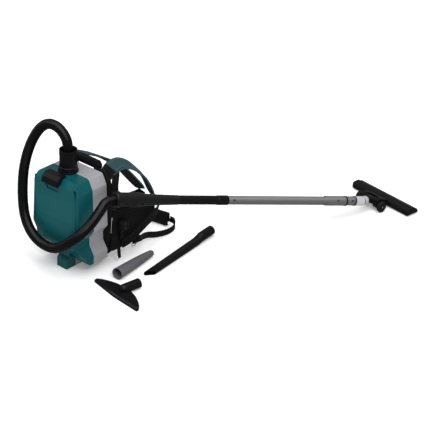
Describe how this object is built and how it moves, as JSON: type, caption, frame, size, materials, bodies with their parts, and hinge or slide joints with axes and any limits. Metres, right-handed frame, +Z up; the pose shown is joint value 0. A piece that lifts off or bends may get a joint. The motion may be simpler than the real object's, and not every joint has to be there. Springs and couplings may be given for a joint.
{
  "type": "backpack vacuum cleaner",
  "caption": "Backpack vacuum cleaner with harness, flexible hose, tubular wand, tilting floor nozzle and loose crevice, taper and fan-shaped nozzles.",
  "frame": {"origin": "centre of the keel's underside, where the unit stands", "axes": "+X right across the front, +Y back towards the harness and the wand's far end, +Z up"},
  "size_m": [0.8552, 1.3806, 0.549],
  "materials": {
    "teal_plastic": "glossy moulded",
    "grey_plastic": "fine grain",
    "black_plastic": "fine grain",
    "dark_grey_plastic": "satin",
    "clear_grey_plastic": "satin",
    "aluminium": "drawn tube",
    "steel": "machined",
    "ring_steel": "plated",
    "rubber": "matte",
    "hose_rubber": "satin, fine corrugation",
    "black_fabric": "woven",
    "teal_fabric": "coated fabric",
    "webbing": "ribbed webbing",
    "filter_paper": "pleated paper",
    "bag_fabric": "fleece",
    "copper": "enamelled winding and laminations",
    "board_green": "solder mask",
    "bristle": "brush strip"
  },
  "bodies": {
    "root": {"front_housing": "teal_plastic", "rear_housing": "grey_plastic", "exhaust_grille": "dark_grey_plastic", "cover_seal": "rubber", "filter_deck": "grey_plastic", "fine_filter": "filter_paper", "prefilter_frame": "black_plastic", "dust_bag": "bag_fabric", "motor_housing": "black_plastic", "motor_mount_rings": "rubber", "motor_stator": "copper", "motor_bearings": "steel", "control_board": "board_green", "battery_terminals": "dark_grey_plastic", "inlet_flange": "black_plastic", "hose": "hose_rubber", "hose_end_cuff": "black_plastic", "back_frame": "black_plastic", "frame_screws": "steel", "carry_handle": "black_plastic", "shoulder_pads": "teal_fabric", "strap_webbing": "webbing", "back_pad": "black_fabric", "lumbar_pad": "black_fabric", "belt_wings": "black_fabric", "waist_webbing": "webbing", "belt_buckles": "black_plastic", "ring_tab": "webbing", "control_pod": "black_plastic"},
    "front_cover": {"front_cover": "teal_plastic", "latch_pin": "steel"},
    "cover_latch": {"cover_latch": "black_plastic", "latch_claw": "black_plastic"},
    "rotor": {"motor_rotor": "steel", "impeller": "aluminium"},
    "inlet_cuff": {"inlet_cuff": "black_plastic"},
    "wand": {"wand_grip": "black_plastic", "grip_tube": "black_plastic", "upper_tube": "aluminium", "lower_tube": "aluminium", "joint_rings": "rubber", "button_springs": "steel"},
    "suction_slider": {"suction_slider": "dark_grey_plastic"},
    "cuff_button": {"cuff_button": "dark_grey_plastic"},
    "upper_lock_button": {"upper_lock_button": "dark_grey_plastic"},
    "lower_lock_button": {"lower_lock_button": "dark_grey_plastic"},
    "elbow": {"nozzle_elbow": "clear_grey_plastic", "nozzle_neck": "black_plastic"},
    "head": {"nozzle_shell": "black_plastic", "nozzle_sole": "dark_grey_plastic", "bristle_strips": "bristle", "head_pins": "steel"},
    "left_wheel": {"left_wheel": "rubber"},
    "right_wheel": {"right_wheel": "rubber"},
    "crevice_nozzle": {"crevice_nozzle": "black_plastic"},
    "taper_nozzle": {"taper_nozzle": "clear_grey_plastic"},
    "fan_nozzle": {"fan_nozzle": "black_plastic"},
    "d_ring": {"d_ring": "ring_steel"},
    "power_button": {"power_button": "dark_grey_plastic"},
    "mode_button": {"mode_button": "dark_grey_plastic"}
  },
  "joints": [
    {"name": "cover_lift", "type": "slide", "parent": "root", "child": "front_cover", "axis": [0, 0, 1], "range_m": [0, 0.25]},
    {"name": "latch_lever", "type": "hinge", "parent": "front_cover", "child": "cover_latch", "pos_m": [-0.006, -0.054, 0.3812], "axis": [-1, 0, 0], "range_deg": [0, 20], "stiffness_Nm_per_rad": 0.4},
    {"name": "blower_spin", "type": "hinge", "parent": "root", "child": "rotor", "pos_m": [0, 0.003, 0.15], "axis": [0, 0, 1], "continuous": true},
    {"name": "inlet_swivel", "type": "hinge", "parent": "root", "child": "inlet_cuff", "pos_m": [-0.008, 0.004, 0.42], "axis": [0, 0, 1], "continuous": true},
    {"name": "wand_swivel", "type": "hinge", "parent": "root", "child": "wand", "pos_m": [0.17072, 0.11568, 0.28154], "axis": [0.3453, 0.9113, -0.2244], "continuous": true},
    {"name": "suction_slide", "type": "slide", "parent": "wand", "child": "suction_slider", "axis": [0.3453, 0.9113, -0.2244], "range_m": [-0.008, 0.008]},
    {"name": "cuff_button_press", "type": "slide", "parent": "wand", "child": "cuff_button", "axis": [-0.8753, 0.2265, -0.4272], "range_m": [0, 0.0025], "stiffness_N_per_m": 350},
    {"name": "upper_lock_press", "type": "slide", "parent": "wand", "child": "upper_lock_button", "axis": [-0.8753, 0.2265, -0.4272], "range_m": [0, 0.0025], "stiffness_N_per_m": 350},
    {"name": "lower_lock_press", "type": "slide", "parent": "wand", "child": "lower_lock_button", "axis": [-0.8753, 0.2265, -0.4272], "range_m": [0, 0.0025], "stiffness_N_per_m": 350},
    {"name": "elbow_swivel", "type": "hinge", "parent": "wand", "child": "elbow", "pos_m": [0.516, 1.02696, 0.05715], "axis": [0.3453, 0.9113, -0.2244], "range_deg": [-90, 90]},
    {"name": "head_tilt", "type": "hinge", "parent": "elbow", "child": "head", "pos_m": [0.519, 1.118, 0.032], "axis": [0.9903, -0.1392, 0], "range_deg": [-60, 12]},
    {"name": "left_wheel_spin", "type": "hinge", "parent": "head", "child": "left_wheel", "pos_m": [0.46283, 1.12791, 0.021], "axis": [0.9903, -0.1392, 0], "continuous": true},
    {"name": "right_wheel_spin", "type": "hinge", "parent": "head", "child": "right_wheel", "pos_m": [0.57572, 1.11205, 0.021], "axis": [0.9903, -0.1392, 0], "continuous": true},
    {"name": "crevice_lift", "type": "slide", "parent": "root", "child": "crevice_nozzle", "axis": [0, 0, 1], "range_m": [0, 0.1]},
    {"name": "taper_lift", "type": "slide", "parent": "root", "child": "taper_nozzle", "axis": [0, 0, 1], "range_m": [0, 0.1]},
    {"name": "fan_lift", "type": "slide", "parent": "root", "child": "fan_nozzle", "axis": [0, 0, 1], "range_m": [0, 0.1]},
    {"name": "ring_swing", "type": "hinge", "parent": "root", "child": "d_ring", "pos_m": [0.1097, 0.221, 0.04], "axis": [0, 1, 0], "range_deg": [-40, 40]},
    {"name": "power_press", "type": "slide", "parent": "root", "child": "power_button", "axis": [-1, 0, 0], "range_m": [0, 0.002], "stiffness_N_per_m": 350},
    {"name": "mode_press", "type": "slide", "parent": "root", "child": "mode_button", "axis": [-1, 0, 0], "range_m": [0, 0.002], "stiffness_N_per_m": 350}
  ]
}
